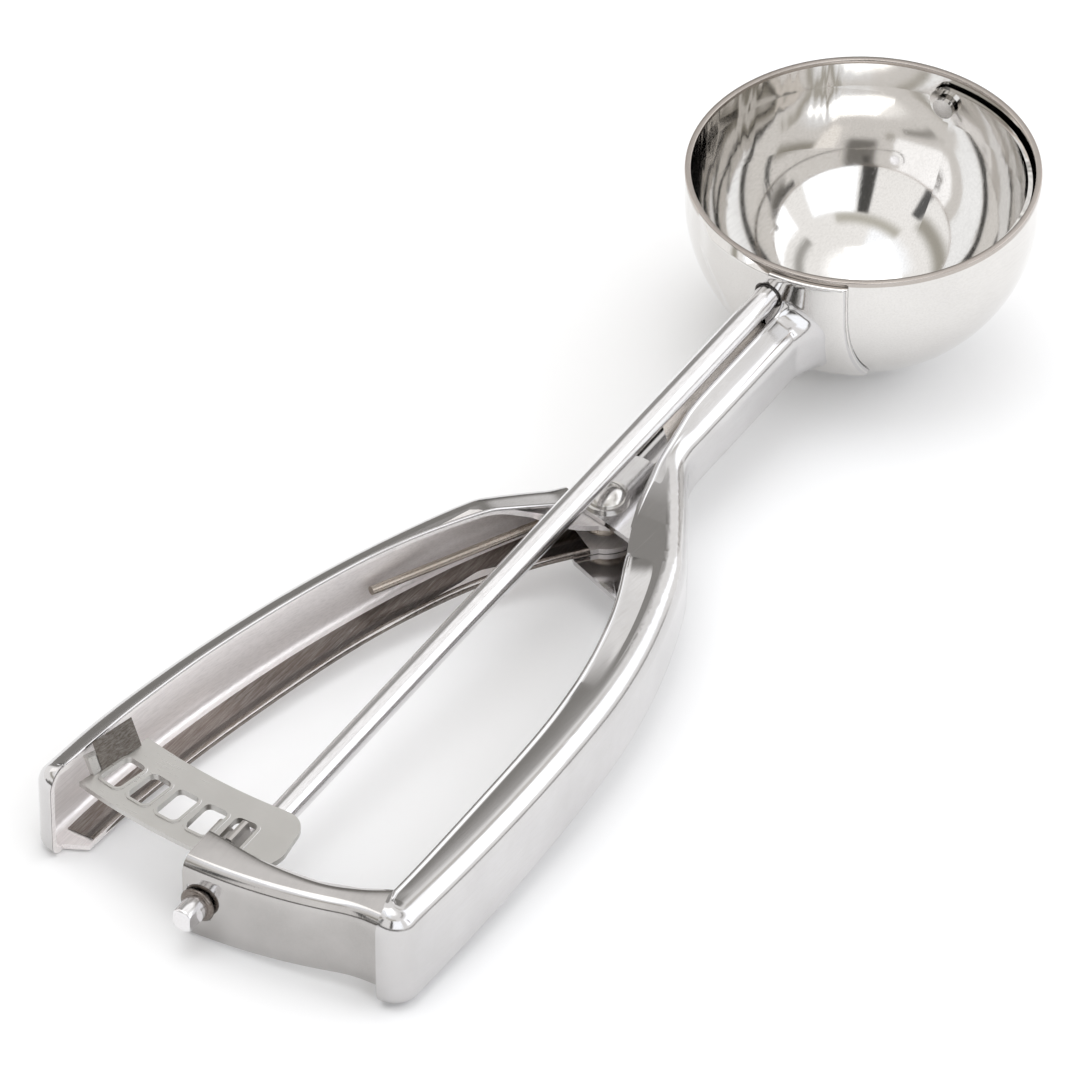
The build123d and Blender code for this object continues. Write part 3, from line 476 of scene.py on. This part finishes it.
rows = []
for i in range(-2, 49):
    z = 4.27 - 22.17 * max(i, 0) / 48
    ya = hole_edge(z)
    cap = 0.15 if i == 0 else 0.9 if i < -1 else 0.4 if i < 0 else 0.0
    rows.append([on_shell(-ya - (12.28 - ya) * k / 30, z + (0.06 if i < 0 else 0.0),
                          R_SH - max(0.5 if k == 30 else 0.0, cap)) for k in range(31)])
surface("cradle_right_skin", rows, "frame", mats["bowl"])
rows = []
for i in range(-6, 53):
    z = 4.27 - 20.3 * max(i, 0) / 52
    ya = hole_edge(z)
    # the left half's own edge, which the skin feathers down to the bowl
    ye = 11.7 if z > -0.8 else 11.7 - (-0.8 - z) * 0.72 if z > -6.4 else max(6.9, 7.7 - (-6.4 - z) * 0.3)
    row = []
    for k in range(31):
        y = ya + (ye + 4.6 - ya) * k / 30
        row.append(on_shell(y, z + 0.95 * ease(-i / 6) * ease(y / 9.0),
                            R_SH - 0.94 * max(ease((y - ye - 0.1) / 4.4), ease(-i / 6))))
    rows.append(row)
surface("cradle_left_skin", rows, "frame", mats["bowl"], flip=True)

# ---- dished strip of sheet inside the neck, under the rod
rows = []
for i in range(36):
    x = -31.2 - 35.6 * i / 35
    yl = 2.0 - 4.2 * ease((-57.0 - x) / 6.0)
    rows.append([(x, y, -3.35 - 0.45 * (1 - (y / 5.62) ** 2) * (1 - ease((-54.0 - x) / 10.0))
                  - 0.25 * ease((-34.0 - x) / 20.0) - 2.36 * ease((-54.0 - x) / 11.5))
                 for y in [-5.62 + (yl + 5.62) * k / 16 for k in range(17)]])
surface("neck_inner_strip", rows, "frame", mats["strip"], flip=False)

# ---- moving handle
kt = (10.0 + 2.6) / (-188.6 + 72.0)
kl = (-5.85 + 12.6) / (-188.6 + 90.0)
MOV_TOP = profile([(-193.6, -2.6 + kt * (-193.6 + 72)), (-92.0, -2.6 + kt * (-92.0 + 72)), (-80.0, -4.85),
                   (-72.0, -5.75)], [0, 9.0, 8.0, 0])
MOV_BOT = profile([(-193.6, -12.6 + kl * (-193.6 + 90)), (-90.0, -12.6), (-66.0, -12.6)], [0, 150.0, 0])
mov_line = smooth_line(MOV_IN)
mov_low_line = smooth_line(MOV_IN_LOW)
stations = [st for st in walk(MOV_PATH) if st[0] < -77.6]
x, y, h = stations[-1]
n = int(abs(-188.6 + 3.6 - x))
stations += [(x + (-185.0 - x) * (k + 1) / n, y, math.pi) for k in range(n)]
n_web = len(stations)
stations += turn(stations[-1][0], stations[-1][1], math.pi, 3.6, -1)
x, y, h = stations[-1]
stations += [(x, y + (27.0 - y) * (k + 1) / 2, h) for k in range(2)]
rows, low = [], []
OFF = 0.13
for i, st in enumerate(stations):
    x, y, h = st
    zt, zb = height(MOV_TOP, x), height(MOV_BOT, x)
    w = reach(x, y, -math.sin(h), math.cos(h), mov_line) or 4.0
    rl = 0.3
    if i >= n_web - 3:
        f = min(1.0, (i - n_web + 3) / 4)
        w = w * (1 - f) + 3.5 * f
        rl = 0.3 * (1 - f) + 0.08 * f
    rows.append(place(st, -1, section(zt, zb, w, 3.0, 2.2, rl, 0.0)))
    if i < n_web - 2:
        wl = reach(x, y, -math.sin(h), math.cos(h), mov_low_line) or 7.0
        zi = zb + 0.9 + 0.13
        q = [(2.3, zi - 0.02), (2.8, zi), (3.0 + (wl - 3.6) * 0.5, zi), (wl - 0.7, zi)]
        for k in range(7):
            a = math.radians(100 - 130 * k / 6)
            q.append((wl - 0.62 + 0.75 * math.cos(a), zi - 0.6 + 0.75 * math.sin(a)))
        low.append(place(st, -1, q))
surface("moving_handle_skin", rows, "lever", mats["handle"], flip=True)
OFF = 0.06
# The lower flange skin is near-black steel: painted shade inside the channel.
surface("moving_handle_low_flange_skin", low, "lever", mats["handle_dark"], flip=True)

# ---- end bracket
brk_line = smooth_line(BRK_IN)
stations = walk(WALL_PATH, 0.8)
rows = []
for st in stations:
    x, y, h = st
    w = reach(x, y, math.sin(h), -math.cos(h), brk_line) or 4.0
    zb = -7.0 + 1.4 * (10 - y) / 50 - 0.02
    q = [(-OFF + 0.5, zb - 0.03), (-OFF + 0.08, zb), (-OFF, zb + 0.12)]
    for k in range(1, 6):
        q.append((-OFF, zb + 0.12 + (6.95 - 2.4 - zb - 0.12) * k / 6))
    for k in range(15):
        a = math.radians(180 - 90 * k / 14)
        q.append((2.4 + (2.4 + OFF) * math.cos(a), 6.95 - 2.4 + (2.4 + OFF) * math.sin(a)))
    rl = 0.7
    u0, z0 = q[-1]
    u1 = max(u0 + 0.05, w + 0.12 - rl)
    for k in range(1, 6):
        f = k / 5
        q.append((u0 + (u1 - u0) * f, z0 + 0.05 * 4 * f * (1 - f)))
    for k in range(1, 9):
        a = math.radians(90 - 120 * k / 8)
        q.append((u1 + rl * math.cos(a), z0 - rl + rl * math.sin(a)))
    rows.append(place(st, 1, q))
surface("end_bracket_skin", rows, "frame", mats["bracket"],
        hole=lambda p: p[0] < -186 and math.hypot(p[1], p[2]) < 2.5)


# ---- turned rings
def ring(name, body, mat, prof, centre, axis="z", n=96):
    """A turned piece: (radius, height) points round an axis through centre."""
    rows = []
    for r, t in prof:
        row = []
        for k in range(n):
            a = 2 * math.pi * k / n
            c, d = r * math.cos(a), r * math.sin(a)
            row.append((centre[0] + t, centre[1] + c, centre[2] + d) if axis == "x"
                       else (centre[0] + c, centre[1] + d, centre[2] + t))
        rows.append(row)
    return surface(name, rows, body, mat, close_rows=True, flip=(axis == "z"))


# The bead's darker, browner steel is a painted reflection of the dark far wall.
ring("bowl_rim_bead", "frame", mats["bead"],
     [(28.01, 4.4), (28.03, 4.95), (28.0, 5.14), (27.94, 5.225), (27.88, 5.25), (27.82, 5.257), (27.5, 5.26),
      (27.22, 5.257), (27.16, 5.25), (27.1, 5.22), (27.05, 5.14), (27.04, 4.95), (27.07, 4.5)], (0, 0, 0), n=160)
# Dark collar ring in the near-black steel: painted shade where the rod's end meets the bracket wall.
ring("rod_end_collar", "sweep", mats["handle_dark"],
     [(2.0, -0.05), (2.55, -0.07), (2.8, -0.25), (2.85, -0.55), (2.6, -0.8), (2.0, -0.86)],
     (-190.5, 0, 0), axis="x", n=48)
ring("rod_hole_edge", "frame", mats["seam"],
     [(2.06, 0.1), (2.1, -0.2), (2.25, -0.3), (2.42, -0.2), (2.45, 0.2)], (-28.6, 0, 0), axis="x", n=48)


# ---- pressed rims of the rack's windows
def window_rim(i):
    a = math.radians(-3.0 * i)
    hx, hy, rc = 6.2 / 2 + 0.28, 3.9 / 2 + 0.28, 1.25
    path = []
    for cx, cy, a0 in ((hx - rc, hy - rc, 0), (-hx + rc, hy - rc, 90), (-hx + rc, -hy + rc, 180),
                       (hx - rc, -hy + rc, 270)):
        for k in range(7):
            b = math.radians(a0 + 15 * k)
            path.append((cx, cy, math.cos(b), math.sin(b), rc))
    rows = []
    for du, z in ((-0.22, 5.30), (-0.22, 5.60), (-0.16, 5.655), (-0.05, 5.67), (0.05, 5.64), (0.14, 5.58), (0.22, 5.52)):
        row = []
        for cx, cy, nx, ny, r in path:
            px, py = -103.13 + cx + nx * (r + du), cy + ny * (r + du)
            row.append((X_HINGE + px * math.cos(a) - py * math.sin(a),
                        px * math.sin(a) + py * math.cos(a), z))
        rows.append(row)
    surface("rack_window_rim_%d" % (i + 1), rows, "lever", mats["rim"], close_rows=True, flip=True)


mats["rim"] = steel("pressed_rim_steel", tint=(0.72, 0.70, 0.69), dark=(0.62, 0.60, 0.59), rough=(0.10, 0.2),
                    grain=0.1, wave=0.1)
for i in range(5):
    window_rim(i)

# ---- the rack's turned-up tab, welded under the flange, in near-black steel as painted shade
rows = []
ca, sa = math.cos(math.radians(13.45)), math.sin(math.radians(13.45))
for k in range(13):
    r = 97.1 + (105.0 - 97.1) * k / 12
    bx, by = X_HINGE - r * ca, r * sa
    row = []
    for q in range(9):
        f = q / 8
        a, z = -0.235 + 2.10 * f, 5.58 + (9.9 - 5.58) * f + 0.03 * math.sin(math.pi * f)
        row.append((bx + sa * a, by + ca * a, z))
    rows.append(row)
surface("rack_tab_skin", rows, "lever", mats["tab"])

# ---------------------------------------------------------------- floor, lights
def stage_mesh(name, verts, faces, mat):
    me = bpy.data.meshes.new(name)
    me.from_pydata(verts, [], faces)
    me.update()
    o = bpy.data.objects.new(name, me)
    scene.collection.objects.link(o)
    me.materials.append(mat)
    return o


fm = Nodes("pale_floor")
fm.bsdf.inputs["Base Color"].default_value = (0.93, 0.93, 0.93, 1)
fm.bsdf.inputs["Roughness"].default_value = 0.8
fm.bsdf.inputs["Specular IOR Level"].default_value = 0.2
stage_mesh("floor", [(-3, -3, -0.0002), (3, -3, -0.0002), (3, 3, -0.0002), (-3, 3, -0.0002)], [(0, 1, 2, 3)], fm.mat)

# A soft white studio: a bright ceiling, wide windows on two sides, and the
# darker far wall of the room, which give the polished steel its bands.
world = bpy.data.worlds.new("studio")
scene.world = world
world.use_nodes = True
wt = world.node_tree
wt.nodes.clear()


def wnode(kind, **kw):
    n = wt.nodes.new(kind)
    for k, v in kw.items():
        setattr(n, k, v)
    return n


def wmath(op, a, b=None, c=None):
    n = wnode("ShaderNodeMath", operation=op)
    for k, v in enumerate((a, b, c)):
        if v is None:
            continue
        if isinstance(v, (int, float)):
            n.inputs[k].default_value = v
        else:
            wt.links.new(v, n.inputs[k])
    return n.outputs[0]


def wrange(v, a, b, c, d):
    n = wnode("ShaderNodeMapRange", interpolation_type="SMOOTHSTEP")
    for name, x in (("From Min", a), ("From Max", b), ("To Min", c), ("To Max", d)):
        n.inputs[name].default_value = x
    wt.links.new(v, n.inputs["Value"])
    return n.outputs["Result"]


tc = wnode("ShaderNodeTexCoord")
sep = wnode("ShaderNodeSeparateXYZ")
wt.links.new(tc.outputs["Generated"], sep.inputs[0])
w_az = wmath("MULTIPLY", wmath("ARCTAN2", sep.outputs["Y"], sep.outputs["X"]), 57.29578)
w_el = wmath("MULTIPLY", wmath("ARCSINE", sep.outputs["Z"]), 57.29578)


def wmix(fac, a, b):
    n = wnode("ShaderNodeMix", data_type="RGBA")
    wt.links.new(fac, n.inputs[0])
    for sock, v in ((n.inputs[6], a), (n.inputs[7], b)):
        if isinstance(v, tuple):
            sock.default_value = (*v, 1)
        else:
            wt.links.new(v, sock)
    return n.outputs[2]


# centre azimuth, half width, centre elevation, half height, softness, colour
PANELS = [
    (0, 181, 90, 15, 6, (1.65, 1.65, 1.66)),          # ceiling
    (150, 40, 67, 12, 6, (1.35, 1.39, 1.45)),         # skylight
    (-56, 32, 58, 3, 2.5, (0.48, 0.47, 0.45)),        # ceiling edge
    (-165, 36, 51.5, 3.5, 3.5, (0.62, 0.60, 0.54)),   # band over the windows
    (-128, 21, 29, 18.5, 1.6, (1.60, 1.65, 1.72)),    # left window
    (-46, 41, 32, 16, 2.0, (1.85, 1.88, 1.95)),       # front window
    (-157, 5.5, 29, 18.5, 1.0, (0.085, 0.083, 0.08)), # window post
    (-70, 2.5, 30, 9, 1.0, (0.40, 0.39, 0.38)),       # window bar
    (0, 8, 48, 5, 3, (0.75, 0.73, 0.69)),             # wall above the far window
    (37, 19, 16, 25, 6, (0.31, 0.30, 0.285)),        # dark far wall
    (29, 4.5, 3, 14, 1.5, (0.16, 0.155, 0.15)),       # far post
    (82, 15, 42, 15, 4, (1.50, 1.47, 1.44)),          # far side window
    (125, 27, 36, 5, 4, (0.46, 0.44, 0.39)),          # dark wall by it
    (157, 4, 26, 10, 1.5, (0.13, 0.13, 0.13)),        # side post
    (148, 14, 6, 9, 4, (0.26, 0.25, 0.235)),
    (180, 62, 3, 5, 2, (0.18, 0.175, 0.17)),          # dark skirting
    (-75, 55, 2, 4, 2, (0.50, 0.49, 0.48)),
]
col = (1.12, 1.11, 1.10)
for az, haz, elc, hel, soft, c in PANELS:
    turn = wmath("MODULO", wmath("ADD", w_az, 540.0 - az), 360.0)
    d_az = wmath("ABSOLUTE", wmath("SUBTRACT", turn, 180.0))
    d_el = wmath("ABSOLUTE", wmath("SUBTRACT", w_el, float(elc)))
    m = wmath("MULTIPLY", wrange(d_az, haz - soft, haz + soft, 1.0, 0.0),
              wrange(d_el, hel - soft, hel + soft, 1.0, 0.0))
    col = wmix(m, col, c)
# the camera itself sees a plain pale backdrop
lp = wnode("ShaderNodeLightPath")
col = wmix(lp.outputs["Is Camera Ray"], col, (0.93, 0.93, 0.93))
bg = wnode("ShaderNodeBackground")
wt.links.new(col, bg.inputs["Color"])
bg.inputs["Strength"].default_value = 1.0
wo = wnode("ShaderNodeOutputWorld")
wt.links.new(bg.outputs[0], wo.inputs[0])


def area(name, loc, target, size, power, color=(1, 1, 1), size_y=None):
    l = bpy.data.lights.new(name, "AREA")
    l.energy = power
    l.color = color
    l.shape = "RECTANGLE"
    l.size = size
    l.size_y = size_y or size
    o = bpy.data.objects.new(name, l)
    o.location = loc
    o.rotation_mode = "QUATERNION"
    o.rotation_quaternion = (Vector(target) - Vector(loc)).to_track_quat("-Z", "Y")
    scene.collection.objects.link(o)
    return o


area("soft_top", (-0.2, 0.25, 1.6), (0, 0, 0), 0.9, 3.0)

# ----------------------------------------------------------------------- camera
cam_data = bpy.data.cameras.new("camera")
cam = bpy.data.objects.new("camera", cam_data)
scene.collection.objects.link(cam)
scene.camera = cam
cam_data.sensor_width = 36.0
cam_data.sensor_fit = "HORIZONTAL"
cam_data.lens = 36.0 * 11000.0 / 1080.0
cam_data.clip_start = 0.1
cam_data.clip_end = 20.0
cam_data.dof.use_dof = False
right = Vector((0.5234771788853714, -0.8455603654878157, 0.10487760248177265))
up = Vector((0.4764286391308606, 0.3925316964128833, 0.7867239789958994))
back = right.cross(up)
cam.matrix_world = Matrix((
    (right.x, up.x, back.x, -1.1884189410),
    (right.y, up.y, back.y, -0.6003950350),
    (right.z, up.z, back.z, 1.0294676580),
    (0, 0, 0, 1)))
scene.view_settings.view_transform = "Standard"
scene.view_settings.look = "None"
